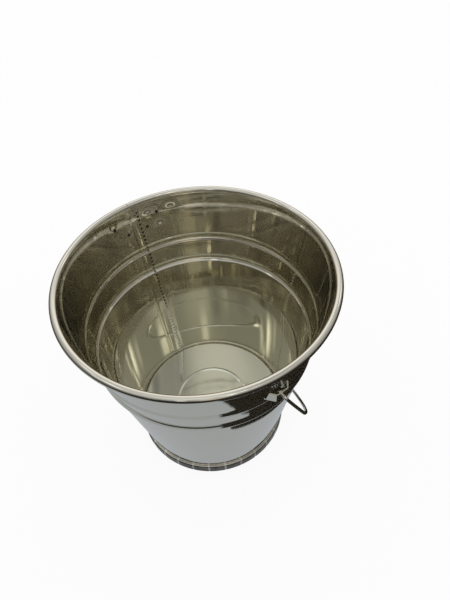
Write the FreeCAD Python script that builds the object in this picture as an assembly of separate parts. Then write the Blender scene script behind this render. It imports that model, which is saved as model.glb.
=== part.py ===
"""Stainless steel bucket with a plain wire bail.

Millimetres, +Z up. The origin is the middle of the foot, on the surface that the
bucket stands on. The two ears lie on the X axis, the side seam is under the ear at -X,
and the bail hangs down on the +Y side.
"""
import FreeCAD, Part
import math
import os

from FreeCAD import Vector

# Body sheet: a straight cone with a curled rim
rim_outer_radius = 150.0
bucket_height = 274.0
curl_radius = 4.0
wall_sheet = 0.5
wall_foot_radius = 94.2
curl_turn_angle = 320.0
curl_gap = 0.8
curl_gap_offset = -3.0

# Two beads pressed outward around the body
upper_bead_drop = 66.0
lower_bead_drop = 98.5
bead_half_width = 6.0
upper_bead_corner_rise = 2.6
lower_bead_corner_rise = 4.6
bead_root_radius = 1.0
bead_flank_straight = 0.3

# Side seam: one edge laps over the other inside, held by a row of spot welds
seam_top_offset = 4.5
seam_foot_offset = 8.5
lap_width = 12.5
lap_edge_margin = 1.8
lap_foot_gap = 0.6
lap_top_gap = 3.0
seam_weld_pitch = 5.6
seam_weld_radius = 1.3
seam_weld_rise = 0.35
weld_crown_share = 0.65

# Rim wire inside the curl
rim_wire_clearance = 0.1

# Base pan: raised floor with a skirt inside the body
floor_height = 20.0
pan_sheet = 0.6
pan_edge_radius = 3.4
floor_ring_radius = 48.0
floor_ring_half_width = 2.4
floor_ring_rise = 0.9
floor_ring_crest_radius = 1.2
floor_ring_root_radius = 1.2

# Foot ring: a rolled channel that grips the body and the skirt
foot_ledge = 2.8
foot_height = 14.0
foot_sheet = 0.8
foot_corner_radius = 2.2
foot_inner_corner_radius = 1.6
foot_inner_leg_height = 9.0
crimp_count = 29
crimp_radius = 1.6
crimp_depth = 0.4
crimp_first_angle = -37.1

# Ears: two wings over a tongue, with a bridge for the end of the bail
ear_sheet = 1.2
ear_rim_gap = 5.5
ear_bead_gap = 1.0
ear_wing_width = 74.0
ear_wing_height = 13.5
ear_wing_corner_radius = 5.0
ear_waist_width = 44.0
ear_waist_drop = 5.0
ear_waist_radius = 12.0
ear_tongue_width = 27.0
ear_tongue_corner_radius = 3.0
bridge_height = 12.0
bridge_face_width = 13.0
bridge_foot_width = 25.0
bridge_standoff = 8.3
bridge_bend_radius = 2.2
ear_weld_radius = 2.2
ear_weld_rise = 0.5
ear_wing_weld_inset = 8.0
ear_waist_weld_inset = 9.0
ear_waist_weld_drop = 4.0

# Bail: one bent wire with upset ends, widest beside the rim when it stands up
bail_wire_radius = 1.75
bail_hole_clearance = 0.3
bail_rim_clearance = 0.7
bail_rest_height = 21.0
bail_rest_gap = 0.3
bail_end_gap = 1.35
bail_end_bend_radius = 4.0
bail_widest_rise = -2.0
bail_shoulder_radius = 18.0
bail_shoulder_share = 0.37
bail_crown_share = 0.6
bail_head_radius = 3.4
bail_head_thickness = 2.0
bail_head_gap = 0.6

# Cutting tools reach this far past what they cut
cut_overrun = 5.0

FULL_TURN = 360.0
HALF_TURN = 180.0
QUARTER_TURN = 90.0


def point_2d(radius, height):
    """A point of a profile in the XZ plane."""
    return Vector(radius, 0, height)


def unit(vector):
    length = math.hypot(vector.x, vector.z)
    return Vector(vector.x / length, 0, vector.z / length)


def left_of(direction):
    return Vector(-direction.z, 0, direction.x)


def offset_corners(corners, distance):
    """The corners of a chain of lines moved to the left by a distance."""
    moved = []
    last = len(corners) - 1
    for index, corner in enumerate(corners):
        into = unit(corner - corners[index - 1]) if index > 0 else unit(corners[1] - corner)
        out = unit(corners[index + 1] - corner) if index < last else into
        bisector = unit(left_of(into) + left_of(out))
        stretch = distance / bisector.dot(left_of(out))
        moved.append(corner + bisector * stretch)
    return moved


def turn_sign(before, corner, after):
    """+1 where a chain turns left at a corner, -1 where it turns right."""
    into = corner - before
    out = after - corner
    return 1 if into.x * out.z - into.z * out.x > 0 else -1


def rounded_edges(corners, radii):
    """Lines and tangent arcs along a chain of corners; radii holds one per inner corner."""
    edges = []
    start = corners[0]
    for index in range(1, len(corners) - 1):
        corner = corners[index]
        into = unit(corner - corners[index - 1])
        out = unit(corners[index + 1] - corner)
        half_turn = math.acos(max(-1, min(1, into.dot(out)))) / 2
        trim = radii[index - 1] * math.tan(half_turn)
        arc_start = corner - into * trim
        arc_end = corner + out * trim
        inward = unit(out - into)
        centre = corner + inward * (radii[index - 1] / math.cos(half_turn))
        middle = centre - inward * radii[index - 1]
        edges.append(Part.LineSegment(start, arc_start).toShape())
        edges.append(Part.Arc(arc_start, middle, arc_end).toShape())
        start = arc_end
    edges.append(Part.LineSegment(start, corners[-1]).toShape())
    return edges


def end_points(edges):
    return edges[0].Vertexes[0].Point, edges[-1].Vertexes[-1].Point


def sheet_section(corners, radii, near, far):
    """Section of a bent sheet between two offsets, near and far, left of a chain."""
    sides = []
    for distance in (near, far):
        side_radii = []
        for index, radius in enumerate(radii):
            sign = turn_sign(corners[index], corners[index + 1], corners[index + 2])
            side_radii.append(radius - sign * distance)
        sides.append(rounded_edges(offset_corners(corners, distance), side_radii))
    near_start, near_end = end_points(sides[0])
    far_start, far_end = end_points(sides[1])
    caps = [Part.LineSegment(near_start, far_start).toShape(),
            Part.LineSegment(near_end, far_end).toShape()]
    return face_of(sides[0] + sides[1] + caps)


def face_of(edges):
    return Part.Face(Part.Wire(Part.__sortEdges__(edges)))


def revolved(face, angle=FULL_TURN):
    return face.revolve(Vector(), Vector(0, 0, 1), angle)


def along_z(radius, height, position):
    return Part.makeCylinder(radius, height, position, Vector(0, 0, 1))


def rounded_panel(corners, radii, near_x, far_x):
    """A prism along X; the closed outline is given as (y, z) corners with a radius each."""
    count = len(corners)
    edges = []
    starts = []
    ends = []
    middles = []
    for index, (across, up) in enumerate(corners):
        corner = Vector(across, 0, up)
        into = unit(corner - Vector(corners[index - 1][0], 0, corners[index - 1][1]))
        following = corners[(index + 1) % count]
        out = unit(Vector(following[0], 0, following[1]) - corner)
        half_turn = math.acos(max(-1, min(1, into.dot(out)))) / 2
        inward = unit(out - into)
        centre = corner + inward * (radii[index] / math.cos(half_turn))
        starts.append(corner - into * (radii[index] * math.tan(half_turn)))
        ends.append(corner + out * (radii[index] * math.tan(half_turn)))
        middles.append(centre - inward * radii[index])
    for index in range(count):
        following = (index + 1) % count
        arc = [in_x_plane(near_x, place[index]) for place in (starts, middles, ends)]
        edges.append(Part.Arc(*arc).toShape())
        edges.append(Part.LineSegment(arc[-1], in_x_plane(near_x, starts[following])).toShape())
    return face_of(edges).extrude(Vector(far_x - near_x, 0, 0))


def in_x_plane(plane_x, place):
    """A point kept as (across, 0, up) put on a plane square to X."""
    return Vector(plane_x, place.x, place.z)


upper_bead_height = bucket_height - upper_bead_drop
lower_bead_height = bucket_height - lower_bead_drop
ear_top = bucket_height - curl_radius - curl_radius - ear_rim_gap
ear_wing_bottom = ear_top - ear_wing_height
ear_waist_height = ear_wing_bottom - ear_waist_drop
ear_bottom = upper_bead_height + bead_half_width + ear_bead_gap
hinge_height = ear_bottom + bridge_height / 2

# The cone of the body: its outer face is tangent to the inside of the curl
curl_centre = point_2d(rim_outer_radius - curl_radius, bucket_height - curl_radius)
curl_bore = curl_radius - wall_sheet
foot_to_curl = curl_centre - point_2d(wall_foot_radius, 0)
cone_angle = math.atan2(foot_to_curl.x, foot_to_curl.z) - math.asin(curl_bore / foot_to_curl.Length)
cone_slope = math.tan(cone_angle)
up_wall = Vector(math.sin(cone_angle), 0, math.cos(cone_angle))
out_of_wall = Vector(math.cos(cone_angle), 0, -math.sin(cone_angle))


def wall_radius(height, outward=0):
    """Radius of the cone at a height, moved outward square to the sheet."""
    return wall_foot_radius + height * cone_slope + outward / math.cos(cone_angle)


def wall_point(height, outward=0):
    return point_2d(wall_radius(height, outward), height)


# The foot ring stands out from the body, and the hanging bail leans on the wall above it
foot_radius = wall_radius(foot_height) + foot_ledge
bail_pin_end = wall_radius(hinge_height) + bridge_standoff + bail_end_gap
bail_widest = rim_outer_radius + bail_wire_radius + bail_rim_clearance
bail_widest_height = curl_centre.z - hinge_height + bail_widest_rise
bail_rest = wall_point(bail_rest_height, bail_wire_radius + bail_rest_gap)
bail_depth = math.hypot(bail_rest.x, hinge_height - bail_rest.z)
bail_lean = math.atan2(hinge_height - bail_rest.z, bail_rest.x)


def cone_solid(low, high, outward):
    """The filled cone between two heights, its face moved outward from the body's."""
    return Part.makeCone(wall_radius(low, outward), wall_radius(high, outward), high - low,
                         Vector(0, 0, low), Vector(0, 0, 1))


def bead_corners(height, corner_rise):
    """Root, crest and root of one bead, from the foot upward."""
    middle = wall_point(height)
    return [middle - up_wall * bead_half_width,
            middle + out_of_wall * corner_rise,
            middle + up_wall * bead_half_width]


def bead_crest_radius(corner_rise):
    """The crest's round takes all of a bead's flanks but the root's bend and a short straight."""
    flank_angle = math.atan2(corner_rise, bead_half_width)
    flank = math.hypot(corner_rise, bead_half_width) - bead_flank_straight
    return (flank - bead_root_radius * math.tan(flank_angle / 2)) / math.tan(flank_angle)


def wall_chain(low, high):
    """Corners and radii of the body's outer face between two heights."""
    corners = [wall_point(low)]
    radii = []
    for height, corner_rise in ((lower_bead_height, lower_bead_corner_rise),
                                (upper_bead_height, upper_bead_corner_rise)):
        corners += bead_corners(height, corner_rise)
        radii += [bead_root_radius, bead_crest_radius(corner_rise), bead_root_radius]
    corners.append(wall_point(high))
    return corners, radii


def curl_section():
    """Section of the curl: an open ring that starts where the cone touches it."""
    start_angle = math.pi - cone_angle
    turn = math.radians(curl_turn_angle)
    sides = []
    ends = []
    for radius in (curl_radius, curl_bore):
        places = []
        for share in (0, 1 / 2, 1):
            angle = start_angle - turn * share
            places.append(curl_centre + Vector(math.cos(angle), 0, math.sin(angle)) * radius)
        sides.append(Part.Arc(*places).toShape())
        ends.append((places[0], places[-1]))
    caps = [Part.LineSegment(ends[0][side], ends[1][side]).toShape() for side in (0, 1)]
    return face_of(sides + caps)


def seam_offset(height):
    """Y of the seam's row of welds at a height; the seam leans a little."""
    share = height / bucket_height
    return seam_foot_offset + (seam_top_offset - seam_foot_offset) * share


def seam_prism(low, high):
    """A prism along X that holds the lap of the seam."""
    corners = []
    for height, side in ((low, lap_edge_margin), (high, lap_edge_margin),
                         (high, lap_edge_margin - lap_width), (low, lap_edge_margin - lap_width)):
        corners.append(Vector(-rim_outer_radius, seam_offset(height) + side, height))
    outline = Part.makePolygon(corners + corners[:1])
    return Part.Face(outline).extrude(Vector(rim_outer_radius, 0, 0))


def make_body_wall():
    curl_touch_height = (curl_centre - out_of_wall * curl_bore).z
    corners, radii = wall_chain(foot_sheet, curl_touch_height)
    wall = revolved(sheet_section(corners, radii, 0, wall_sheet))
    curl = revolved(curl_section())
    lap_low = floor_height + lap_foot_gap
    lap_high = curl_centre.z - curl_radius - lap_top_gap
    lap_corners, lap_radii = wall_chain(lap_low, lap_high)
    lap = revolved(sheet_section(lap_corners, lap_radii, wall_sheet, wall_sheet + wall_sheet))
    lap = lap.common(seam_prism(lap_low - cut_overrun, lap_high + cut_overrun))
    gap = Part.makeBox(curl_radius + curl_bore, curl_gap, curl_radius + curl_radius + cut_overrun,
                       Vector(-rim_outer_radius - cut_overrun,
                              curl_gap_offset - curl_gap / 2,
                              bucket_height - curl_radius - curl_radius))
    curl = curl.cut(gap)
    return wall.fuse([curl, lap]).removeSplitter()


def make_rim_wire():
    circle = Part.Circle(curl_centre, Vector(0, 1, 0), curl_bore - rim_wire_clearance)
    return revolved(Part.Face(Part.Wire(circle.toShape())))


def make_base_pan():
    floor_edge = wall_point(floor_height, -wall_sheet)
    corners = [wall_point(foot_inner_corner_radius, -wall_sheet), floor_edge]
    radii = [pan_edge_radius]
    for reach, rise in ((floor_ring_half_width, 0), (0, floor_ring_rise), (-floor_ring_half_width, 0)):
        corners.append(point_2d(floor_ring_radius + reach, floor_height + rise))
    radii += [floor_ring_root_radius, floor_ring_crest_radius, floor_ring_root_radius]
    corners.append(point_2d(0, floor_height))
    return revolved(sheet_section(corners, radii, 0, pan_sheet))


def make_foot_ring():
    inner_leg_outward = -wall_sheet - pan_sheet - foot_sheet
    corners = [wall_point(foot_height),
               point_2d(foot_radius, foot_height),
               point_2d(foot_radius, 0),
               wall_point(0, inner_leg_outward),
               wall_point(foot_inner_leg_height, inner_leg_outward)]
    radii = [foot_corner_radius, foot_corner_radius, foot_inner_corner_radius]
    ring = revolved(sheet_section(corners, radii, -foot_sheet, 0))
    ring = ring.cut(cone_solid(foot_height - foot_sheet - foot_sheet, foot_height + foot_sheet, 0))
    crimps = []
    for index in range(crimp_count):
        angle = math.radians(crimp_first_angle + index * FULL_TURN / crimp_count)
        reach = foot_radius + crimp_radius - crimp_depth
        place = Vector(reach * math.cos(angle), reach * math.sin(angle), -cut_overrun)
        crimps.append(along_z(crimp_radius, foot_height + cut_overrun + cut_overrun, place))
    return ring.cut(crimps)


def ear_outline():
    """Corners (y, z) and radii of the ear: two wings over a tongue that narrows downward."""
    right = [(ear_tongue_width / 2, ear_bottom),
             (ear_waist_width / 2, ear_waist_height),
             (ear_wing_width / 2, ear_wing_bottom),
             (ear_wing_width / 2, ear_top)]
    left = [(-across, up) for across, up in reversed(right)]
    radii = [ear_tongue_corner_radius, ear_waist_radius,
             ear_wing_corner_radius, ear_wing_corner_radius]
    return right + left, radii + radii[::-1]


def bridge_band(low, high):
    """The bridge seen from above: a strap that stands off the body, as a prism along Z."""
    seat = wall_radius(hinge_height) - bridge_standoff / 2
    face = wall_radius(hinge_height) + bridge_standoff
    chain = [Vector(seat, 0, -bridge_foot_width / 2 - bridge_standoff / 2),
             Vector(face, 0, -bridge_face_width / 2),
             Vector(face, 0, bridge_face_width / 2),
             Vector(seat, 0, bridge_foot_width / 2 + bridge_standoff / 2)]
    section = sheet_section(chain, [bridge_bend_radius, bridge_bend_radius], 0, ear_sheet)
    section.rotate(Vector(), Vector(1, 0, 0), QUARTER_TURN)
    section.translate(Vector(0, 0, low))
    return section.extrude(Vector(0, 0, high - low))


def make_plain_ear():
    reach = rim_outer_radius
    corners, radii = ear_outline()
    plate = cone_solid(ear_bottom - cut_overrun, ear_top + cut_overrun, ear_sheet)
    plate = plate.common(rounded_panel(corners, radii, 0, reach))
    window = Part.makeBox(reach, bridge_face_width, bridge_height,
                          Vector(0, -bridge_face_width / 2, ear_bottom))
    ear = plate.cut(window).fuse(bridge_band(ear_bottom, ear_bottom + bridge_height))
    ear = ear.cut(cone_solid(ear_bottom - cut_overrun, ear_top + cut_overrun, 0))
    hole = Part.makeCylinder(bail_wire_radius + bail_hole_clearance, reach,
                             Vector(0, 0, hinge_height), Vector(1, 0, 0))
    return ear.cut(hole).removeSplitter()


def turned(shape):
    """A copy turned half round the bucket's axis."""
    copy = shape.copy()
    copy.rotate(Vector(), Vector(0, 0, 1), HALF_TURN)
    return copy


def weld_dot(across, height, outward, radius, rise):
    """A low round dot with a narrower flat top, on the inner side of the sheet at +X."""
    skin_radius = wall_radius(height, outward)
    place = Vector(math.sqrt(skin_radius * skin_radius - across * across), across, height)
    inward = Vector(-place.x * out_of_wall.x / skin_radius, -place.y * out_of_wall.x / skin_radius,
                    -out_of_wall.z)
    dot = Part.makeCone(radius, radius * weld_crown_share, rise + rise, place - inward * rise, inward)
    skin = cone_solid(height - radius - radius, height + radius + radius, outward)
    return dot.common(skin)


def make_seam_welds():
    low = floor_height + lap_foot_gap + seam_weld_pitch
    high = curl_centre.z - curl_radius - lap_top_gap - seam_weld_pitch
    bead_reach = bead_half_width + seam_weld_radius
    dots = []
    for index in range(int((high - low) / seam_weld_pitch) + 1):
        height = low + index * seam_weld_pitch
        if min(abs(height - upper_bead_height), abs(height - lower_bead_height)) > bead_reach:
            dots.append(turned(weld_dot(-seam_offset(height), height, -wall_sheet - wall_sheet,
                                        seam_weld_radius, seam_weld_rise)))
    return Part.makeCompound(dots)


def make_ear_welds():
    dots = []
    for offset, height in ((ear_wing_width / 2 - ear_wing_weld_inset,
                            ear_wing_bottom + ear_wing_height / 2),
                           (ear_waist_width / 2 - ear_waist_weld_inset,
                            ear_waist_height - ear_waist_weld_drop)):
        for across in (-offset, offset):
            dot = weld_dot(across, height, -wall_sheet, ear_weld_radius, ear_weld_rise)
            dots += [dot, turned(dot)]
    return Part.makeCompound(dots)


def spoke(angle):
    """A unit vector in the XZ plane at an angle in radians from +X."""
    return Vector(math.cos(angle), 0, math.sin(angle))


def arc_between(centre, radius, start_angle, end_angle):
    """An arc in the XZ plane between two angles in radians."""
    places = []
    for share in (0, 1 / 2, 1):
        places.append(centre + spoke(start_angle + (end_angle - start_angle) * share) * radius)
    return Part.Arc(*places).toShape()


def bail_half_edges():
    """One half of the bail as tangent arcs in the XZ plane: X out to the ear, Z to the crown."""
    bend_rise = bail_widest_height - bail_end_bend_radius
    leg_angle = 2 * math.atan2(bail_widest - bail_end_bend_radius - bail_pin_end, bend_rise)
    leg_radius = bend_rise / math.sin(leg_angle) + bail_end_bend_radius
    leg_centre = point_2d(bail_widest - leg_radius, bail_widest_height)
    leg = arc_between(leg_centre, leg_radius, -leg_angle, 0)
    bend_centre = point_2d(bail_pin_end, bail_end_bend_radius)
    bend = arc_between(bend_centre, bail_end_bend_radius, -math.pi / 2, -leg_angle)
    head_end = point_2d(wall_radius(hinge_height) + bridge_standoff - ear_sheet
                        - bail_head_gap - bail_head_thickness, 0)
    pin = Part.LineSegment(head_end, point_2d(bail_pin_end, 0)).toShape()
    shoulder_angle = bail_shoulder_share * math.atan2(bail_widest, bail_depth - bail_widest_height)
    shoulder_centre = point_2d(bail_widest - bail_shoulder_radius, bail_widest_height)
    shoulder = arc_between(shoulder_centre, bail_shoulder_radius, 0, shoulder_angle)
    shoulder_end = shoulder_centre + spoke(shoulder_angle) * bail_shoulder_radius
    crown_radius = bail_crown_share * bail_widest
    crown_centre = point_2d(0, bail_depth - crown_radius)
    across = shoulder_end - crown_centre
    flank_radius = (across.dot(across) - crown_radius * crown_radius) \
        / (2 * (across.dot(spoke(shoulder_angle)) - crown_radius))
    flank_centre = shoulder_end - spoke(shoulder_angle) * flank_radius
    flank_angle = math.atan2(crown_centre.z - flank_centre.z, -flank_centre.x)
    flank = arc_between(flank_centre, flank_radius, shoulder_angle, flank_angle)
    crown = arc_between(crown_centre, crown_radius, flank_angle, math.pi / 2)
    return [pin, bend, leg, shoulder, flank, crown], head_end


def make_bail():
    edges, start = bail_half_edges()
    path = Part.Wire(edges)
    section = Part.Wire(Part.Circle(start, Vector(1, 0, 0), bail_wire_radius).toShape())
    half = path.makePipeShell([section], True, False)
    head = Part.makeCylinder(bail_head_radius, bail_head_thickness, start, Vector(1, 0, 0))
    half = half.fuse(head)
    bail = half.fuse(half.mirror(Vector(), Vector(1, 0, 0)))
    bail.rotate(Vector(), Vector(1, 0, 0), -QUARTER_TURN - math.degrees(bail_lean))
    bail.translate(Vector(0, 0, hinge_height))
    return bail.removeSplitter()


def export(name, shape):
    bounds = shape.BoundBox
    print("%-16s solids %d valid %s volume %.1f  x %.1f..%.1f y %.1f..%.1f z %.1f..%.1f" % (
        name, len(shape.Solids), shape.isValid(), shape.Volume, bounds.XMin, bounds.XMax,
        bounds.YMin, bounds.YMax, bounds.ZMin, bounds.ZMax))
    shape.exportStep("parts/" + name + ".step")


def main():
    os.makedirs("parts", exist_ok=True)
    export("body_wall", make_body_wall())
    export("rim_wire", make_rim_wire())
    export("base_pan", make_base_pan())
    export("foot_ring", make_foot_ring())
    plain_ear = make_plain_ear()
    export("plain_ear", plain_ear)
    export("seam_ear", turned(plain_ear))
    export("seam_welds", make_seam_welds())
    export("ear_welds", make_ear_welds())
    export("bail_wire", make_bail())
    print("hinge height %.2f, bail hangs %.2f degrees below level"
          % (hinge_height, math.degrees(bail_lean)))


main()
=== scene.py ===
"""Looks of a stainless steel bucket with a plain wire bail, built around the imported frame."""

import math

import bpy
from mathutils import Matrix, Vector


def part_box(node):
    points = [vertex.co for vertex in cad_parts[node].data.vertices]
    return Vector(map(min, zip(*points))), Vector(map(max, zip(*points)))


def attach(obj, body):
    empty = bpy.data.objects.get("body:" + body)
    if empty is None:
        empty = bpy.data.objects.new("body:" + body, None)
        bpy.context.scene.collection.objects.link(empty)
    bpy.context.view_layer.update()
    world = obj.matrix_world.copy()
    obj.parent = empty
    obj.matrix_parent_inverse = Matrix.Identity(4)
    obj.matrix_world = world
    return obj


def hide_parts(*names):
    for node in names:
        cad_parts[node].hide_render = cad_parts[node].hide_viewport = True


MM = 0.001

# Camera of the photograph
CAMERA_PLACE = (0.3113, -0.1655, 0.6269)
CAMERA_HEADING = math.radians(147.42)
CAMERA_TILT = math.radians(48.69)
CAMERA_ROLL = -0.0708
CAMERA_LENS_MM = 29.03

# Light bounces between the polished walls many times
MIRROR_BOUNCES = 24

# Body sheet, with the curl at its rim
WALL_SHEET = 0.5 * MM
WALL_FOOT_RADIUS = 94.2 * MM
WALL_FOOT_HEIGHT = 0.8 * MM
CURL_RADIUS = 4.0 * MM
CURL_TURN = math.radians(320)
CURL_GAP = 0.8 * MM
CURL_GAP_OFFSET = -3.0 * MM

# Pressed beads: distance below the rim's top, then how far they stand out
BEADS = ((98.5 * MM, 4.6 * MM), (66.0 * MM, 2.6 * MM))
BEAD_HALF_WIDTH = 6.0 * MM
BEAD_ROOT_RADIUS = 1.0 * MM
BEAD_FLANK = 0.3 * MM

# Side seam: the lap and its row of welds, which lean a little to one side
SEAM_TOP_OFFSET = 4.5 * MM
SEAM_FOOT_OFFSET = 8.5 * MM
LAP_WIDTH = 12.5 * MM
LAP_MARGIN = 1.8 * MM
LAP_FOOT_GAP = 0.6 * MM
LAP_TOP_GAP = 3.0 * MM
LAP_EDGE_RADIUS = 0.25 * MM
LAP_EDGE_SHARES = (0.0, 0.3, 0.6, 0.85, 1.0)
SEAM_WELD_PITCH = 5.6 * MM
SEAM_WELD_RADIUS = 1.3 * MM
SEAM_WELD_RISE = 0.35 * MM

# Marks of welding: a burnt spot at each weld high up, and a painted highlight along a ribbon low
# down.
# Reach is measured across the seam, share is a part of the welds' pitch along it.
# Heights over which the welds turn from the painted highlight low down to burnt high up
WELD_GLINT_TO_BURN = (95 * MM, 120 * MM)
BURN_REACH = (1.1 * MM, 1.7 * MM)
BURN_SHARE = (0.2, 0.3)
GLINT_REACH = (1.9 * MM, 2.7 * MM)
GLINT_SHARE = (0.28, 0.4)

# Base pan
FLOOR_HEIGHT = 20.0 * MM
PAN_SHEET = 0.6 * MM
PAN_EDGE_RADIUS = 3.4 * MM
PAN_DUST = (78 * MM, 96 * MM)
FLOOR_RING_RADIUS = 48.0 * MM
FLOOR_RING_HALF_WIDTH = 2.4 * MM
FLOOR_RING_RISE = 0.9 * MM
FLOOR_RING_BEND = 1.2 * MM

# Foot ring
FOOT_SHEET = 0.8 * MM
FOOT_CORNER_RADIUS = 2.2 * MM
FOOT_INNER_CORNER_RADIUS = 1.6 * MM
FOOT_INNER_LEG_HEIGHT = 9.0 * MM
FOOT_LEDGE_FADE = (0.6 * MM, 0.2 * MM)
CRIMP_COUNT = 29
CRIMP_HALF_WIDTH = 1.5 * MM
CRIMP_DEPTH = 0.4 * MM
CRIMP_FIRST_ANGLE = math.radians(-37.1)

# Spot welds of the ears: distance from the ear's middle, then height
EAR_WELD_RADIUS = 2.2 * MM
EAR_WELD_RISE = 0.5 * MM
EAR_WELDS = ((29.0 * MM, 253.75 * MM), (13.0 * MM, 238.0 * MM))

# A weld dot from its edge to its pit: share of its radius, then share of its rise
WELD_PROFILE = ((1.0, -0.3), (1.0, 0.0), (0.86, 0.55), (0.7, 0.95), (0.58, 1.0), (0.42, 0.7),
                (0.2, 0.35))
WELD_PIT = 0.25

# The rolled sheet is a little wavy: waves round the body, their phase, climb and inward depth
SHEET_WAVES = ((3, 0.7, 90.0 * MM, 0.08 * MM), (7, 2.1, -60.0 * MM, 0.045 * MM),
               (13, 1.3, 35.0 * MM, 0.022 * MM), (22, 0.4, -45.0 * MM, 0.008 * MM))

# Dents where the ears and the seam were welded: heading, height, half width, half height, depth
DENTS = ((192.4, 252.5 * MM, 4.5 * MM, 4.5 * MM, 0.30 * MM),
         (168.4, 254.5 * MM, 4.5 * MM, 4.5 * MM, 0.30 * MM),
         (167.4, 232.3 * MM, 4.5 * MM, 4.5 * MM, 0.30 * MM),
         (172.7, 253.2 * MM, 7.0 * MM, 3.6 * MM, 2.40 * MM),
         (160.5, 252.0 * MM, 9.0 * MM, 6.0 * MM, 0.60 * MM),
         (184.0, 229.0 * MM, 4.5 * MM, 11.0 * MM, 0.40 * MM),
         (210.7, 195.6 * MM, 3.0 * MM, 9.0 * MM, 0.15 * MM),
         (219.2, 220.0 * MM, 5.0 * MM, 20.0 * MM, 0.20 * MM),
         (169.6, 146.0 * MM, 2.5 * MM, 16.0 * MM, 0.18 * MM),
         (11.8, 253.5 * MM, 4.5 * MM, 4.5 * MM, 0.30 * MM),
         (-11.8, 253.5 * MM, 4.5 * MM, 4.5 * MM, 0.30 * MM))
DENT_REACH = 3.0

# Beside the lap the sheet bends a little: distance from the welds, half width, depth
SEAM_BENDS = ((3.4 * MM, 1.6 * MM, 0.26 * MM), (-12.4 * MM, 1.8 * MM, 0.22 * MM))
SEAM_BEND_REACH = 30 * MM

# Waves and dents die out before the foot ring and the curl: heights, or depths below the rim
FOOT_FADE = (14 * MM, 30 * MM)
RIM_FADE = (8 * MM, 16 * MM)
WAVE_RIM_FADE = (8 * MM, 60 * MM)

# Fineness of the meshes; the body is finer round both ears
WALL_STEP = 3.0 * MM
PAN_STEP = 6.0 * MM
BEND_STEP = math.radians(6)
PAN_BEND_STEP = math.radians(3)
CURL_STEP = math.radians(10)
ROUND_STEPS = 240
FINE_SPAN = math.radians(24)
FINE_STEPS = 144
EAR_ANGLES = (0.0, math.pi)
ANGLE_DIGITS = 6
EDGE_MARGIN = 0.001
LAP_STEPS = 24
WELD_STEPS = 18
CRIMP_STEPS = 5
SHARP_EDGE = math.radians(40)
ON_AXIS = 0.01 * MM

# Steel; its fine haze scatters a little of the light that falls on it
HAZY_METAL = 0.98
WHITE = (1.0, 1.0, 1.0, 1.0)
STEEL = (0.64, 0.62, 0.535, 1.0)
STEEL_DULL = (0.60, 0.58, 0.50, 1.0)
PAN_STEEL = (0.63, 0.635, 0.54, 1.0)
FOOT_STEEL = (0.60, 0.58, 0.52, 1.0)
# Dark grime and painted shade on the foot ring's face, where it meets the ground
FOOT_GRIME_AND_SHADE = (0.065, 0.056, 0.045, 1.0)
# Painted highlight on the lower seam welds
WELD_GLINT_STEEL = (0.95, 0.93, 0.84, 1.0)
WELD_SOOT = (0.035, 0.03, 0.02, 1.0)
# Painted highlight along the ribbon over the seam's lower welds
GLINT_RIBBON_STEEL = (0.95, 0.93, 0.86, 1.0)
CORE_RUST = (0.30, 0.12, 0.07, 1.0)
CORE_STEEL = (0.42, 0.36, 0.32, 1.0)

# Studio floor: a matte grey that catches the shadow, shown nearly white
STUDIO_FLOOR_SIZE = 6.0
STUDIO_FLOOR_GREY = (0.88, 0.88, 0.88, 1.0)
STUDIO_FLOOR_WHITE = 0.9

# The tent round the bucket, which only the metal sees: a dome of soft light, in degrees of height
TENT_RADIUS = 12.0
TENT_LOWEST = -2.0
TENT_SPAN = 92.0
TENT_RINGS = 24
TENT_STEPS = 96
ZENITH = 90.0

# Its light by height: share of the way to the zenith, then light
TENT_STOPS = ((0.0, 0.12), (0.11, 0.25), (0.22, 0.40), (0.30, 0.46), (0.42, 0.55), (0.55, 0.64),
              (0.72, 0.72), (1.0, 0.80))

# Its lamps and shades: heading, height, half width and half height in degrees, then strength
LAMPS = ((-14, 54.5, 6, 3, 1.2), (-12, 54.5, 3, 3, 1.3), (8, 54.5, 4, 2.5, 0.9),
         (0, 60, 3, 3, 1.5), (-32, 54, 5, 2.5, 0.5), (-112, 53.5, 9, 2.5, 1.4),
         (-144, 54, 4, 3, 1.6), (148, 54, 7, 3, 0.9), (90, 48, 6, 2, 0.25),
         (-49, 37.5, 3, 2, 3.0), (-66, 24.6, 3, 1.5, 0.8), (-27, 25, 7, 5, 0.45),
         (97, 38.5, 6, 3, 1.9), (-108, 34, 3, 2, 1.2), (-16, 46, 5, 2, 0.15),
         (-112, 47, 22, 3, 0.4), (-32, 36, 5, 3, 0.4), (-60, 77, 60, 8, 0.28),
         (148, 25, 35, 22, 0.75))
SHADES = ((-57, 12, 20, 20, 0.75), (-40, 6, 60, 14, 0.6), (-94, 25, 12, 5, 0.4),
          (67, 43, 12, 4, 0.4), (65, 74, 45, 8, 0.35), (-117, 30, 8, 3, 0.4),
          (42, 32, 14, 4, 0.35), (124, 41, 6, 4, 0.5), (118, 48.5, 11, 3, 0.5),
          (104, 66, 10, 5, 0.4), (48, 48, 12, 3, 0.25))
PATCH_ACROSS_FADE = (0.3, 1.8)
PATCH_UP_FADE = (0.4, 1.7)

# Its tint: beige low down and in one patch
BEIGE = (1.0, 0.80, 0.66, 1.0)
BEIGE_PATCH = (-27.0, 24.0, 10.0, 7.0)
BEIGE_FADE = (5.0, 25.0)

# The ground that only the metal sees: pale, with a dark part on one side
GROUND_RISE = 0.4 * MM
GROUND_LIGHT = (0.445, 0.473, 0.505, 1.0)
GROUND_DARK = (0.014, 0.011, 0.007, 1.0)

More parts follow.
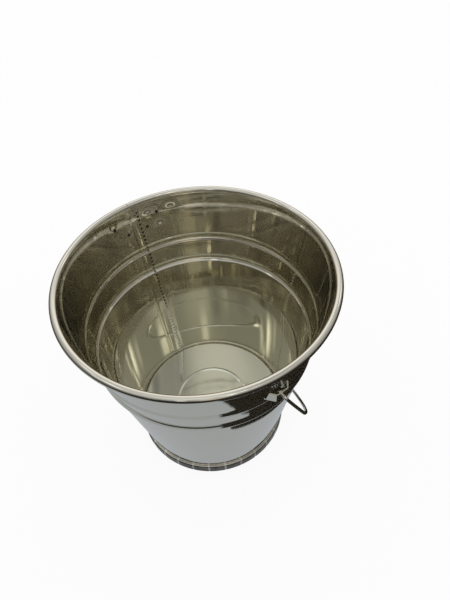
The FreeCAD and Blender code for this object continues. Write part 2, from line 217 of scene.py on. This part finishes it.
# Heading in degrees at which it turns dark, by distance from the bucket's middle
GROUND_EDGE = ((100 * MM, 80.0), (130 * MM, 80.0), (133 * MM, 40.0), (136 * MM, 2.0),
               (141 * MM, -15.0), (146 * MM, -6.0), (151 * MM, 2.0), (154 * MM, -5.0),
               (163 * MM, -12.4), (170 * MM, -16.5), (180 * MM, -22.0), (200 * MM, -24.0))
EDGE_REACHES = (100 * MM, 200 * MM)
EDGE_HEADINGS = (-40.0, 80.0)
EDGE_RAGGED = 9.0
EDGE_FADE = (-0.8, 0.8)
DARK_END = (110.0, 130.0)

# It is also dark right at the foot, and further out, where it starts later on the left
CONTACT_FADE = 1 * MM
CONTACT_SHADE = 0.9
FAR_DARK = (0.44, 0.54)
FAR_DARK_LEFT = 0.25
LEFT_FADE = (-100.0, -60.0)


class Field:
    """A number that varies over a surface. Sums and products of fields add Math nodes."""

    def __init__(self, paint, socket):
        self.paint = paint
        self.socket = socket

    def math(self, operation, *others):
        return self.paint.calculate(operation, self, *others)

    def __add__(self, other):
        return self.math("ADD", other)

    __radd__ = __add__

    def __sub__(self, other):
        return self.math("SUBTRACT", other)

    def __rsub__(self, other):
        return self.paint.calculate("SUBTRACT", other, self)

    def __mul__(self, other):
        return self.math("MULTIPLY", other)

    __rmul__ = __mul__

    def __truediv__(self, other):
        return self.math("DIVIDE", other)

    def __pow__(self, other):
        return self.math("POWER", other)

    def limited(self):
        """Kept between 0 and 1."""
        return self.paint.node("ShaderNodeClamp", {}, {0: self})

    def ramp(self, start, end):
        """0 below start, 1 above end, and a smooth rise between them."""
        return self.paint.node("ShaderNodeMapRange", {"interpolation_type": "SMOOTHSTEP"},
                               {0: self, 1: start, 2: end})


class Paint:
    """The node tree of one material or of the world."""

    def __init__(self, tree):
        self.tree = tree
        self.tree.nodes.clear()

    def node(self, kind, settings=None, values=None, out=0):
        """Adds a node, applies its settings, fills or links its sockets and gives one output."""
        made = self.tree.nodes.new(kind)
        for name, value in (settings or {}).items():
            setattr(made, name, value)
        for socket, value in (values or {}).items():
            if isinstance(value, Field):
                self.tree.links.new(value.socket, made.inputs[socket])
            else:
                made.inputs[socket].default_value = value
        return Field(self, made.outputs[out]) if made.outputs else None

    def calculate(self, operation, *values):
        return self.node("ShaderNodeMath", {"operation": operation}, dict(enumerate(values)))

    def mixed(self, share, first, second):
        """A colour between two colours."""
        return self.node("ShaderNodeMix", {"data_type": "RGBA"}, {0: share, 6: first, 7: second}, 2)

    def place(self):
        """X, Y and Z on the object, in metres."""
        spot = self.node("ShaderNodeTexCoord", {}, {}, "Object")
        return [self.node("ShaderNodeSeparateXYZ", {}, {0: spot}, axis) for axis in range(3)]

    def joined(self, x, y, z):
        return self.node("ShaderNodeCombineXYZ", {}, {0: x, 1: y, 2: z})

    def noise(self, spot, scale, detail=3.0, rough=0.5):
        return self.node("ShaderNodeTexNoise", {}, {
            "Vector": spot, "Scale": scale, "Detail": detail, "Roughness": rough})

    def bump(self, height, distance):
        return self.node("ShaderNodeBump", {}, {"Height": height, "Distance": distance})

    def curve(self, value, stops):
        """A smooth curve through (input, output) stops between 0 and 1."""
        made = self.node("ShaderNodeFloatCurve", {}, {1: value})
        mapping = made.socket.node.mapping
        points = mapping.curves[0].points
        points[0].location = stops[0]
        points[1].location = stops[-1]
        for stop in stops[1:-1]:
            points.new(*stop)
        mapping.update()
        return made

    def surface(self, shader):
        self.node("ShaderNodeOutputMaterial", {}, {"Surface": shader})

    def metal(self, color, rough, normal, metallic=1.0):
        """A metal surface."""
        self.surface(self.node("ShaderNodeBsdfPrincipled", {}, {
            "Base Color": color, "Metallic": metallic, "Roughness": rough, "Normal": normal}))


def new_material(name):
    material = bpy.data.materials.new(name)
    material.use_nodes = True
    return material, Paint(material.node_tree)


def seam_marks(x, y, z):
    """Burnt spots round the seam's upper welds, and a painted highlight along a ribbon over its
    lower ones.
    """
    offset = z * ((SEAM_TOP_OFFSET - SEAM_FOOT_OFFSET) / HEIGHT) + SEAM_FOOT_OFFSET
    across = (y - offset).math("ABSOLUTE")
    pitches = (z - (FLOOR_HEIGHT + LAP_FOOT_GAP)) / SEAM_WELD_PITCH + 0.5
    along = (pitches.math("FRACT") - 0.5).math("ABSOLUTE")
    behind = x.math("LESS_THAN", 0.0)
    below_rim = z.math("LESS_THAN", CURL_Z - CURL_RADIUS - LAP_TOP_GAP)
    upper = z.ramp(*WELD_GLINT_TO_BURN)
    burnt = (1 - across.ramp(*BURN_REACH)) * (1 - along.ramp(*BURN_SHARE))
    glint_ribbon = (1 - across.ramp(*GLINT_REACH)) * (1 - along.ramp(*GLINT_SHARE) * 0.8)
    return burnt * upper * behind * below_rim, glint_ribbon * (1 - upper) * behind


def polished_steel(name, smoothest, roughest, grain, seamed=False):
    """Bright rolled sheet: soft smudges, faint drawn lines and fine hairlines."""
    material, paint = new_material(name)
    x, y, z = paint.place()
    turn = y.math("ARCTAN2", x)
    around_wall = paint.joined(turn.math("COSINE"), turn.math("SINE"), z)
    spot = paint.joined(x, y, z)
    smudge = paint.noise(spot, scale=14.0, detail=4.0, rough=0.55).ramp(0.45, 0.75)
    streaks = paint.noise(paint.joined(x, y, z * 0.12), scale=90.0, detail=2.0).ramp(0.5, 0.85)
    hairs = paint.noise(paint.joined(x * 0.15, y * 0.15, z * 6.0), scale=260.0, detail=2.0)
    pits = paint.noise(around_wall, scale=45.0, detail=2.0, rough=0.4)
    shade = paint.mixed((smudge * 0.35 + streaks * 0.3).limited(), STEEL, STEEL_DULL)
    rough = smoothest + (roughest - smoothest) * (smudge * 0.7 + streaks * 0.3)
    metallic = HAZY_METAL
    if seamed:
        burnt, glint_ribbon = seam_marks(x, y, z)
        # A painted highlight brightens the ribbon over the lower welds; burnt spots darken the
        # upper ones
        shade = paint.mixed(glint_ribbon, paint.mixed(burnt * 0.75, shade, WELD_SOOT), GLINT_RIBBON_STEEL)
        rough = rough + burnt * 0.4 + glint_ribbon * 0.32
        metallic = HAZY_METAL - glint_ribbon * 0.45
    paint.metal(shade, rough, paint.bump(hairs * 0.6 + pits, grain), metallic)
    return material


def pan_steel():
    """The floor: a spun polish in fine rings, with a little dust near the edge."""
    material, paint = new_material("spun_pan_steel")
    x, y, z = paint.place()
    reach = (x * x + y * y) ** 0.5
    rings = paint.noise(paint.joined(reach, 0.0, 0.0), scale=1600.0, detail=2.0)
    smudge = paint.noise(paint.joined(x, y, z), scale=22.0, detail=4.0, rough=0.6).ramp(0.45, 0.8)
    dust = reach.ramp(*PAN_DUST)
    shade = paint.mixed((smudge * 0.3 + dust * 0.25).limited(), PAN_STEEL, STEEL_DULL)
    rough = 0.05 + 0.04 * smudge + 0.03 * rings
    paint.metal(shade, rough, paint.bump(rings, 0.012 * MM))
    return material


def weld_dots_steel():
    """Spot welds: burnt dark high up, and bright with a painted highlight on the lower part of the
    seam.
    """
    material, paint = new_material("spot_weld_steel")
    x, y, z = paint.place()
    speck = paint.noise(paint.joined(x, y, z), scale=900.0, rough=0.6).ramp(0.4, 0.65)
    bright_share = 1 - z.ramp(*WELD_GLINT_TO_BURN)
    # Painted highlight on the lower welds, soot on the upper ones
    shade = paint.mixed((bright_share * 0.9 + speck * 0.12).limited(), WELD_SOOT, WELD_GLINT_STEEL)
    rough = 0.5 - bright_share * 0.18 + speck * 0.1
    paint.metal(shade, rough, paint.bump(speck, 0.03 * MM))
    return material


def foot_ring_steel():
    """The rolled foot: a clean ledge over a face darkened with grime and painted shade, rubbed
    bright at each crimp.
    """
    material, paint = new_material("foot_steel")
    x, y, z = paint.place()
    spot = paint.joined(x, y, z)
    from_first = (y.math("ARCTAN2", x) - CRIMP_FIRST_ANGLE) * (CRIMP_COUNT / math.tau)
    pitches = from_first + CRIMP_COUNT + 0.5
    off_crimp = (pitches.math("FRACT") - 0.5).math("ABSOLUTE")
    rubbed = 1 - off_crimp.ramp(0.03, 0.09)
    low, high = FOOT_LEDGE_FADE
    ledge = z.ramp(FOOT_HEIGHT - low, FOOT_HEIGHT - high)
    patch = paint.noise(spot, scale=60.0, detail=4.0, rough=0.6).ramp(0.35, 0.6)
    speck = paint.noise(spot, scale=420.0, rough=0.6).ramp(0.5, 0.72)
    # Share kept free of the grime and painted shade: the ledge, the rubbed crimps and some patches
    bright_share = (rubbed * (0.3 + patch * 0.4) + patch * 0.12 + speck * 0.1 + ledge * 0.6).limited()
    shade = paint.mixed(bright_share, FOOT_GRIME_AND_SHADE, FOOT_STEEL)
    paint.metal(shade, 0.34 - bright_share * 0.18, paint.bump(speck, 0.02 * MM))
    return material


def core_wire_steel():
    """Plain wire in the curl, rusty in patches."""
    material, paint = new_material("core_wire_steel")
    x, y, z = paint.place()
    spot = paint.joined(x, y, z)
    patch = paint.noise(spot, scale=150.0, detail=5.0, rough=0.6).ramp(0.42, 0.68)
    speck = paint.noise(spot, scale=1350.0, rough=0.6).ramp(0.55, 0.75)
    rust = (patch * 0.6 + speck * 0.4).limited()
    shade = paint.mixed(rust, CORE_STEEL, CORE_RUST)
    paint.metal(shade, 0.3 + 0.2 * rust, paint.bump(speck, 0.03 * MM))
    return material


def wear(node, material):
    """Gives a node's mesh one material in every slot."""
    for slot in node.material_slots:
        slot.material = material


# Shape of the body, worked out from the frame and the sizes above
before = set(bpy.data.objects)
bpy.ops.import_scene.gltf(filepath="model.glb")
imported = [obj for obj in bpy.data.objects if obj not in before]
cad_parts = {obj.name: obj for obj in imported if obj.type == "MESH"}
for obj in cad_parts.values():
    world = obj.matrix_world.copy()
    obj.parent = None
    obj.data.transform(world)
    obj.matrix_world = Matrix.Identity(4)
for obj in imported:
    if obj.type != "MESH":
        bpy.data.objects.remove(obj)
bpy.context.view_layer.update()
RIM_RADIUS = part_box("body_wall")[1].x
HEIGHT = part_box("body_wall")[1].z
FOOT_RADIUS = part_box("foot_ring")[1].x
FOOT_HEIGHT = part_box("foot_ring")[1].z
CURL_BORE = CURL_RADIUS - WALL_SHEET
CURL_X = RIM_RADIUS - CURL_RADIUS
CURL_Z = HEIGHT - CURL_RADIUS
CONE = (math.atan2(CURL_X - WALL_FOOT_RADIUS, CURL_Z)
        - math.asin(CURL_BORE / math.hypot(CURL_X - WALL_FOOT_RADIUS, CURL_Z)))
UP_WALL = Vector((math.sin(CONE), math.cos(CONE)))
OUT_OF_WALL = Vector((math.cos(CONE), -math.sin(CONE)))


def wall_point(height, outward=0.0):
    """(radius, height) on the cone, moved outward square to the sheet but at the same height."""
    radius = WALL_FOOT_RADIUS + height * math.tan(CONE) + outward / math.cos(CONE)
    return Vector((radius, height))


def bent_path(corners, radii, line_step, bend_step=BEND_STEP):
    """Points and left-hand normals along a chain of (radius, height) corners with round bends."""
    path = []
    start = corners[0]
    for index in range(1, len(corners)):
        corner = corners[index]
        into = (corner - corners[index - 1]).normalized()
        left = Vector((-into.y, into.x))
        trim = 0.0
        if index < len(corners) - 1:
            out = (corners[index + 1] - corner).normalized()
            turn = math.atan2(into.x * out.y - into.y * out.x, into.dot(out))
            trim = radii[index - 1] * math.tan(abs(turn) / 2)
        end = corner - into * trim
        steps = max(1, math.ceil((end - start).length / line_step))
        path += [(start.lerp(end, step / steps), left) for step in range(steps + 1)]
        if trim > 0:
            side = math.copysign(1, turn)
            centre = end + left * side * radii[index - 1]
            bends = max(2, math.ceil(abs(turn) / bend_step))
            for step in range(1, bends):
                angle = turn * step / bends
                normal = Vector((left.x * math.cos(angle) - left.y * math.sin(angle),
                                 left.x * math.sin(angle) + left.y * math.cos(angle)))
                path.append((centre - normal * side * radii[index - 1], normal))
            start = corner + out * trim
    return path


def wall_path(low, high):
    """The body's outer face from low to high, with its two beads; normals point inward."""
    corners = [wall_point(low)]
    radii = []
    for drop, rise in BEADS:
        flank_angle = math.atan2(rise, BEAD_HALF_WIDTH)
        flank = math.hypot(rise, BEAD_HALF_WIDTH) - BEAD_FLANK
        root_trim = BEAD_ROOT_RADIUS * math.tan(flank_angle / 2)
        crest_radius = (flank - root_trim) / math.tan(flank_angle)
        middle = wall_point(HEIGHT - drop)
        corners += [middle - UP_WALL * BEAD_HALF_WIDTH, middle + OUT_OF_WALL * rise,
                    middle + UP_WALL * BEAD_HALF_WIDTH]
        radii += [BEAD_ROOT_RADIUS, crest_radius, BEAD_ROOT_RADIUS]
    corners.append(wall_point(high))
    return bent_path(corners, radii, WALL_STEP)


def faded(value, start, end):
    """0 at start, 1 at end, smooth between."""
    share = max(0.0, min(1.0, (value - start) / (end - start)))
    return share * share * (3 - 2 * share)


def seam_offset(height):
    return SEAM_FOOT_OFFSET + (SEAM_TOP_OFFSET - SEAM_FOOT_OFFSET) * height / HEIGHT


def sheet_push(angle, height):
    """How far the wavy, dented sheet stands inward of its true cone."""
    push = 0.0
    below_rim = HEIGHT - height
    for count, phase, climb, depth in SHEET_WAVES:
        push += depth * (1 + math.sin(count * angle + phase + height / climb))
    push *= faded(below_rim, *WAVE_RIM_FADE)
    for heading, level, half_width, half_height, depth in DENTS:
        across = math.remainder(angle - math.radians(heading), math.tau) * wall_point(level).x
        reach = (across / half_width) ** 2 + ((height - level) / half_height) ** 2
        if reach < DENT_REACH ** 2:
            push += depth * math.exp(-reach)
    from_seam = math.sin(angle) * wall_point(height).x - seam_offset(height)
    if math.cos(angle) < 0 and abs(from_seam) < SEAM_BEND_REACH:
        for place, half_width, depth in SEAM_BENDS:
            push += depth * math.exp(-((from_seam - place) / half_width) ** 2)
    return push * faded(height, *FOOT_FADE) * faded(below_rim, *RIM_FADE)


def around(angle, radius, height):
    return Vector((radius * math.cos(angle), radius * math.sin(angle), height))


def on_wall(angle, place, inward, normal):
    """A point of the body's sheet: inward is the distance in from its outer face."""
    spot = place + normal * (inward + sheet_push(angle, place.y))
    return around(angle, spot.x, spot.y)


def even_angles(steps):
    return [math.tau * step / steps for step in range(steps)]


def wall_angles():
    """Angles round the body, closer at both ears, and the two edges of the curl's gap."""
    angles = set()
    for angle in even_angles(ROUND_STEPS):
        if all(abs(math.remainder(angle - ear, math.tau)) > FINE_SPAN for ear in EAR_ANGLES):
            angles.add(round(angle, ANGLE_DIGITS))
    for ear in EAR_ANGLES:
        for step in range(FINE_STEPS + 1):
            angle = ear + FINE_SPAN * (2 * step / FINE_STEPS - 1)
            angles.add(round(angle % math.tau, ANGLE_DIGITS))
    edges = [math.pi - math.asin((CURL_GAP_OFFSET + side * CURL_GAP / 2) / RIM_RADIUS)
             for side in (1, -1)]
    first, last = edges
    kept = [angle for angle in angles
            if not first - EDGE_MARGIN < angle < last + EDGE_MARGIN]
    return sorted(kept + edges), first


def piece_from(name, points, faces, material, replaced):
    """A smooth mesh piece of the bucket that takes the look of a slot and stands for a node."""
    mesh = bpy.data.meshes.new(name)
    mesh.from_pydata(points, [], faces)
    mesh.materials.append(material)
    mesh.validate()
    mesh.shade_smooth()
    mesh.set_sharp_from_angle(angle=SHARP_EDGE)
    piece = bpy.data.objects.new(name, mesh)
    bpy.context.scene.collection.objects.link(piece)
    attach(piece, "bucket")
    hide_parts(replaced)


def spun_faces(rows, angles, place):
    """Turns a closed loop of rows round the Z axis.

    Gives the points, the faces as (row, column, corners) and the point numbers of each row.
    A row on the axis is one point.
    """
    points = []
    keys = []
    for row in rows:
        spots = [place(row, angle) for angle in angles]
        if max(math.hypot(spot.x, spot.y) for spot in spots) < ON_AXIS:
            keys.append([len(points)] * len(angles))
            points.append(spots[0])
        else:
            keys.append(list(range(len(points), len(points) + len(angles))))
            points += spots
    faces = []
    for index in range(len(rows)):
        near = keys[index]
        far = keys[(index + 1) % len(rows)]
        for column in range(len(angles)):
            following = (column + 1) % len(angles)
            corners = [near[column], near[following], far[following], far[column]]
            corners = list(dict.fromkeys(corners))
            if len(corners) > 2:
                faces.append((index, column, corners))
    return points, faces, keys


def add_spun(name, rows, angles, place, material, replaced):
    """A piece that is turned all the way round the bucket's axis."""
    points, faces = spun_faces(rows, angles, place)[:2]
    piece_from(name, points, [corners for row, column, corners in faces], material, replaced)


def sheet_rows(path, thickness):
    """A closed loop of rows: along the outer face of a sheet and back along its inner face."""
    rows = [(place, normal, 0.0) for place, normal in path]
    return rows + [(place, normal, thickness) for place, normal in reversed(path)]


def add_wall(material):
    """The body with its beads and open curl. The curl has a narrow gap over the seam."""
    curl_foot = CURL_Z - OUT_OF_WALL.y * CURL_BORE
    path = wall_path(WALL_FOOT_HEIGHT, curl_foot)
    curl_start = len(path) - 1
    steps = math.ceil(CURL_TURN / CURL_STEP)
    for step in range(1, steps + 1):
        angle = math.pi - CONE - CURL_TURN * step / steps
        spoke = Vector((math.cos(angle), math.sin(angle)))
        path.append((Vector((CURL_X, CURL_Z)) + spoke * CURL_BORE, spoke))
    angles, gap_edge = wall_angles()
    gap = angles.index(gap_edge)
    points, faces, keys = spun_faces(sheet_rows(path, WALL_SHEET), angles, lambda row, angle:
                                     on_wall(angle, row[0], row[2], row[1]))
    last = len(keys) - 1
    kept = [corners for index, column, corners in faces
            if column != gap or not curl_start <= index < last - curl_start]
    for column in (gap, gap + 1):
        for index in range(curl_start, len(path) - 1):
            cap = [keys[index][column], keys[index + 1][column],
                   keys[last - index - 1][column], keys[last - index][column]]
            kept.append(cap if column == gap else cap[::-1])
    kept.append([keys[curl_start][gap], keys[curl_start][gap + 1],
                 keys[last - curl_start][gap + 1], keys[last - curl_start][gap]])
    piece_from("polished_body", points, kept, material, "body_wall")


def add_lap(material):
    """The edge of the sheet that laps over inside the body, with its corners broken."""
    section = []
    for share in LAP_EDGE_SHARES:
        rise = math.sqrt(1 - (1 - share) ** 2) * LAP_EDGE_RADIUS
        section.append((share * LAP_EDGE_RADIUS, WALL_SHEET - LAP_EDGE_RADIUS + rise))
    crown = section + [(LAP_WIDTH * step / LAP_STEPS, WALL_SHEET) for step in range(1, LAP_STEPS)]
    crown += [(LAP_WIDTH - across, rise) for across, rise in reversed(section)]
    loop = [(0.0, 0.0)] + crown + [(LAP_WIDTH, 0.0)]
    path = wall_path(FLOOR_HEIGHT + LAP_FOOT_GAP, CURL_Z - CURL_RADIUS - LAP_TOP_GAP)
    points = []
    for place, normal in path:
        for across, rise in loop:
            side = seam_offset(place.y) + LAP_MARGIN - across
            angle = math.pi - math.asin(side / place.x)
            points.append(on_wall(angle, place, WALL_SHEET + rise, normal))
    count = len(loop)
    faces = []
    for row in range(len(path) - 1):
        for index in range(count):
            following = (index + 1) % count
            faces.append([row * count + index, row * count + following,
                          (row + 1) * count + following, (row + 1) * count + index])
    faces.append(list(range(count))[::-1])
    faces.append([(len(path) - 1) * count + index for index in range(count)])
    piece_from("seam_lap", points, faces, material, "body_wall")


def weld_dot(points, faces, angle, height, inward, radius, rise):
    """Adds a round dot with a raised lip and a pit in its middle."""
    middle = on_wall(angle, wall_point(height), inward, -OUT_OF_WALL)
    inner = -around(angle, OUT_OF_WALL.x, OUT_OF_WALL.y)
    side = Vector((-math.sin(angle), math.cos(angle), 0.0))
    upward = inner.cross(side)
    first = len(points)
    for reach, lift in WELD_PROFILE:
        for turn in even_angles(WELD_STEPS):
            points.append(middle + inner * (rise * lift)
                          + (side * math.cos(turn) + upward * math.sin(turn)) * (radius * reach))
    points.append(middle + inner * (rise * WELD_PIT))
    rings = len(WELD_PROFILE)
    for step in range(WELD_STEPS):
        following = (step + 1) % WELD_STEPS
        for ring in range(rings - 1):
            low = first + ring * WELD_STEPS
            high = low + WELD_STEPS
            faces.append([low + step, low + following, high + following, high + step])
        last_ring = first + (rings - 1) * WELD_STEPS
        faces.append([last_ring + step, last_ring + following, len(points) - 1])
    faces.append([first + step for step in range(WELD_STEPS)][::-1])


def add_seam_welds(material):
    """A row of dots down the lap, left out where a bead crosses it."""
    low = FLOOR_HEIGHT + LAP_FOOT_GAP + SEAM_WELD_PITCH
    high = CURL_Z - CURL_RADIUS - LAP_TOP_GAP - SEAM_WELD_PITCH
    points = []
    faces = []
    for index in range(int((high - low) / SEAM_WELD_PITCH) + 1):
        height = low + index * SEAM_WELD_PITCH
        to_bead = min(abs(height - HEIGHT + drop) for drop, rise in BEADS)
        if to_bead > BEAD_HALF_WIDTH + SEAM_WELD_RADIUS:
            angle = math.pi - math.asin(seam_offset(height) / wall_point(height).x)
            weld_dot(points, faces, angle, height, WALL_SHEET + WALL_SHEET,
                     SEAM_WELD_RADIUS, SEAM_WELD_RISE)
    piece_from("seam_weld_dots", points, faces, material, "seam_welds")


def add_ear_welds(material):
    """Four dots inside the body behind each ear."""
    points = []
    faces = []
    for across, height in EAR_WELDS:
        half = math.asin(across / wall_point(height).x)
        for angle in (half, -half, math.pi - half, math.pi + half):
            weld_dot(points, faces, angle, height, WALL_SHEET, EAR_WELD_RADIUS, EAR_WELD_RISE)
    piece_from("ear_weld_dots", points, faces, material, "ear_welds")


def add_pan(material):
    """The raised floor with its pressed ring, and the skirt that goes down to the foot."""
    corners = [wall_point(FOOT_INNER_CORNER_RADIUS, -WALL_SHEET),
               wall_point(FLOOR_HEIGHT, -WALL_SHEET),
               Vector((FLOOR_RING_RADIUS + FLOOR_RING_HALF_WIDTH, FLOOR_HEIGHT)),
               Vector((FLOOR_RING_RADIUS, FLOOR_HEIGHT + FLOOR_RING_RISE)),
               Vector((FLOOR_RING_RADIUS - FLOOR_RING_HALF_WIDTH, FLOOR_HEIGHT)),
               Vector((0.0, FLOOR_HEIGHT))]
    radii = [PAN_EDGE_RADIUS, FLOOR_RING_BEND, FLOOR_RING_BEND, FLOOR_RING_BEND]
    path = bent_path(corners, radii, PAN_STEP, PAN_BEND_STEP)

    def place(row, angle):
        return around(angle, *(row[0] + row[1] * row[2]))

    add_spun("floor_pan", sheet_rows(path, PAN_SHEET), even_angles(ROUND_STEPS), place,
             material, "base_pan")


def crimp_push(angle, normal):
    """Depth of the crimps at an angle, on what faces outward."""
    pitch = math.tau / CRIMP_COUNT
    across = abs(math.remainder(angle - CRIMP_FIRST_ANGLE, pitch)) * FOOT_RADIUS
    return CRIMP_DEPTH * (1 - faded(across, 0, CRIMP_HALF_WIDTH)) * max(0.0, normal.x) ** 0.5


def add_foot_ring(material):
    """The channel that grips body and pan, pinched all round."""
    inner = -WALL_SHEET - PAN_SHEET - FOOT_SHEET
    corners = [wall_point(FOOT_HEIGHT), Vector((FOOT_RADIUS, FOOT_HEIGHT)),
               Vector((FOOT_RADIUS, 0.0)), wall_point(0.0, inner),
               wall_point(FOOT_INNER_LEG_HEIGHT, inner)]
    radii = [FOOT_CORNER_RADIUS, FOOT_CORNER_RADIUS, FOOT_INNER_CORNER_RADIUS]
    path = bent_path(corners, radii, WALL_STEP)
    angles = set(even_angles(ROUND_STEPS))
    for crimp in range(CRIMP_COUNT):
        middle = CRIMP_FIRST_ANGLE + math.tau * crimp / CRIMP_COUNT
        for step in range(-CRIMP_STEPS, CRIMP_STEPS + 1):
            across = step * CRIMP_HALF_WIDTH / CRIMP_STEPS
            angles.add((middle + across / FOOT_RADIUS) % math.tau)

    def place(row, angle):
        spot = row[0] - row[1] * row[2]
        return around(angle, spot.x - crimp_push(angle, row[1]), spot.y)

    add_spun("rolled_foot", sheet_rows(path, FOOT_SHEET), sorted(angles), place,
             material, "foot_ring")


def add_camera():
    data = bpy.data.cameras.new("camera")
    data.lens = CAMERA_LENS_MM
    camera = bpy.data.objects.new("camera", data)
    turn = Matrix.Rotation(CAMERA_HEADING - math.pi / 2, 4, "Z")
    turn = turn @ Matrix.Rotation(math.pi / 2 - CAMERA_TILT, 4, "X")
    turn = turn @ Matrix.Rotation(CAMERA_ROLL, 4, "Z")
    camera.matrix_world = Matrix.Translation(Vector(CAMERA_PLACE)) @ turn
    bpy.context.scene.collection.objects.link(camera)
    bpy.context.scene.camera = camera


def seen_directly(paint):
    """1 where the camera, a reflection or a refraction looks at the background."""
    rays = [paint.node("ShaderNodeLightPath", {}, {}, name) for name in (
        "Is Camera Ray", "Is Glossy Ray", "Is Transmission Ray")]
    return rays[0].math("MAXIMUM", rays[1]).math("MAXIMUM", rays[2])


def add_world():
    world = bpy.data.worlds.new("world")
    world.use_nodes = True
    bpy.context.scene.world = world
    paint = Paint(world.node_tree)
    shader = paint.node("ShaderNodeBackground", {}, {"Color": WHITE, "Strength": 1.0})
    paint.node("ShaderNodeOutputWorld", {}, {"Surface": shader})


def add_floor():
    bpy.ops.mesh.primitive_plane_add(size=STUDIO_FLOOR_SIZE, location=(0, 0, 0))
    floor = bpy.context.object
    floor.name = "floor"
    material, paint = new_material("floor")
    light = paint.node("ShaderNodeEmission", {}, {"Color": WHITE, "Strength": 1.0})
    matte = paint.node("ShaderNodeBsdfDiffuse", {}, {"Color": STUDIO_FLOOR_GREY})
    share = seen_directly(paint) * STUDIO_FLOOR_WHITE
    paint.surface(paint.node("ShaderNodeMixShader", {}, {0: share, 1: matte, 2: light}))
    floor.data.materials.append(material)


def add_glow(name, points, faces, paint_glow):
    """A glowing sheet of the studio that shows only in the metal's reflections."""
    mesh = bpy.data.meshes.new(name)
    mesh.from_pydata(points, [], faces)
    sheet = bpy.data.objects.new(name, mesh)
    bpy.context.scene.collection.objects.link(sheet)
    material, paint = new_material(name)
    color = paint_glow(paint)
    paint.surface(paint.node("ShaderNodeEmission", {}, {"Color": color, "Strength": 1.0}))
    mesh.materials.append(material)
    sheet.visible_camera = False
    sheet.visible_diffuse = False
    sheet.visible_shadow = False


def tent_glow(paint):
    """The tent's light: dim low down, pale overhead, with soft lamps and shades."""
    x, y, z = paint.place()
    heading = y.math("ARCTAN2", x) * math.degrees(1)
    height = z.math("ARCTAN2", (x * x + y * y) ** 0.5) * math.degrees(1)

    def patch(middle, level, half_width, half_height):
        across = (heading - middle).math("WRAP", 180.0, -180.0).math("ABSOLUTE")
        up = (height - level).math("ABSOLUTE")
        inside = 1 - across.ramp(*[half_width * share for share in PATCH_ACROSS_FADE])
        return inside * (1 - up.ramp(*[half_height * share for share in PATCH_UP_FADE]))

    light = paint.curve(height / ZENITH, TENT_STOPS)
    for *spot, depth in SHADES:
        light = light * (1 - patch(*spot) * depth)
    for *spot, strength in LAMPS:
        light = light + patch(*spot) * strength
    beige = (1 - height.ramp(*BEIGE_FADE)).math("MAXIMUM", patch(*BEIGE_PATCH))
    tint = paint.mixed(beige, WHITE, BEIGE)
    return paint.node("ShaderNodeVectorMath", {"operation": "SCALE"}, {0: tint, 3: light})


def add_tent():
    points = []
    for ring in range(TENT_RINGS):
        rise = math.radians(TENT_LOWEST + TENT_SPAN * ring / TENT_RINGS)
        points += [around(angle, TENT_RADIUS * math.cos(rise), TENT_RADIUS * math.sin(rise))
                   for angle in even_angles(TENT_STEPS)]
    points.append(Vector((0.0, 0.0, TENT_RADIUS)))
    faces = []
    for step in range(TENT_STEPS):
        following = (step + 1) % TENT_STEPS
        for ring in range(TENT_RINGS - 1):
            low = ring * TENT_STEPS
            high = low + TENT_STEPS
            faces.append([low + step, low + following, high + following, high + step])
        top = (TENT_RINGS - 1) * TENT_STEPS
        faces.append([top + step, top + following, len(points) - 1])
    add_glow("tent", points, faces, tent_glow)


def ground_glow(paint):
    """Pale ground with a contact shadow at the foot, and a dark part past a ragged edge."""
    x, y = paint.place()[:2]
    reach = (x * x + y * y) ** 0.5
    heading = y.math("ARCTAN2", x) * math.degrees(1)
    near, far = EDGE_REACHES
    low, high = EDGE_HEADINGS
    stops = [((distance - near) / (far - near), (turn - low) / (high - low))
             for distance, turn in GROUND_EDGE]
    edge = paint.curve(((reach - near) / (far - near)).limited(), stops) * (high - low) + low
    spot = paint.joined(reach, x * 0.1, y * 0.1)
    ragged = paint.noise(spot, scale=150.0, detail=2.0) - 0.5
    past_edge = heading - edge + ragged * EDGE_RAGGED
    dark = past_edge.ramp(*EDGE_FADE) * (1 - past_edge.ramp(*DARK_END))
    contact = 1 - reach.ramp(FOOT_RADIUS - CONTACT_FADE, FOOT_RADIUS + CONTACT_FADE)
    distant = (reach - (1 - heading.ramp(*LEFT_FADE)) * FAR_DARK_LEFT).ramp(*FAR_DARK)
    shade = dark.math("MAXIMUM", contact * CONTACT_SHADE).math("MAXIMUM", distant)
    return paint.mixed(shade, GROUND_LIGHT, GROUND_DARK)


def add_ground():
    points = [around(angle, TENT_RADIUS, GROUND_RISE) for angle in even_angles(TENT_STEPS)]
    add_glow("ground", points, [list(range(len(points)))], ground_glow)


bpy.context.scene.view_settings.view_transform = "Standard"
wall_steel = polished_steel("bright_wall_steel", smoothest=0.01, roughest=0.035,
                            grain=0.01 * MM, seamed=True)
ear_steel = polished_steel("ear_steel", smoothest=0.06, roughest=0.14, grain=0.02 * MM)
bail_steel = polished_steel("bail_wire_steel", smoothest=0.10, roughest=0.20, grain=0.02 * MM)
weld_steel = weld_dots_steel()
add_wall(wall_steel)
add_lap(wall_steel)
add_pan(pan_steel())
add_foot_ring(foot_ring_steel())
add_seam_welds(weld_steel)
add_ear_welds(weld_steel)
wear(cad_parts["plain_ear"], ear_steel)
wear(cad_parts["seam_ear"], ear_steel)
wear(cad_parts["bail_wire"], bail_steel)
wear(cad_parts["rim_wire"], core_wire_steel())
add_camera()
add_world()
add_floor()
add_tent()
add_ground()
bpy.context.scene.cycles.max_bounces = MIRROR_BOUNCES
bpy.context.scene.cycles.glossy_bounces = MIRROR_BOUNCES
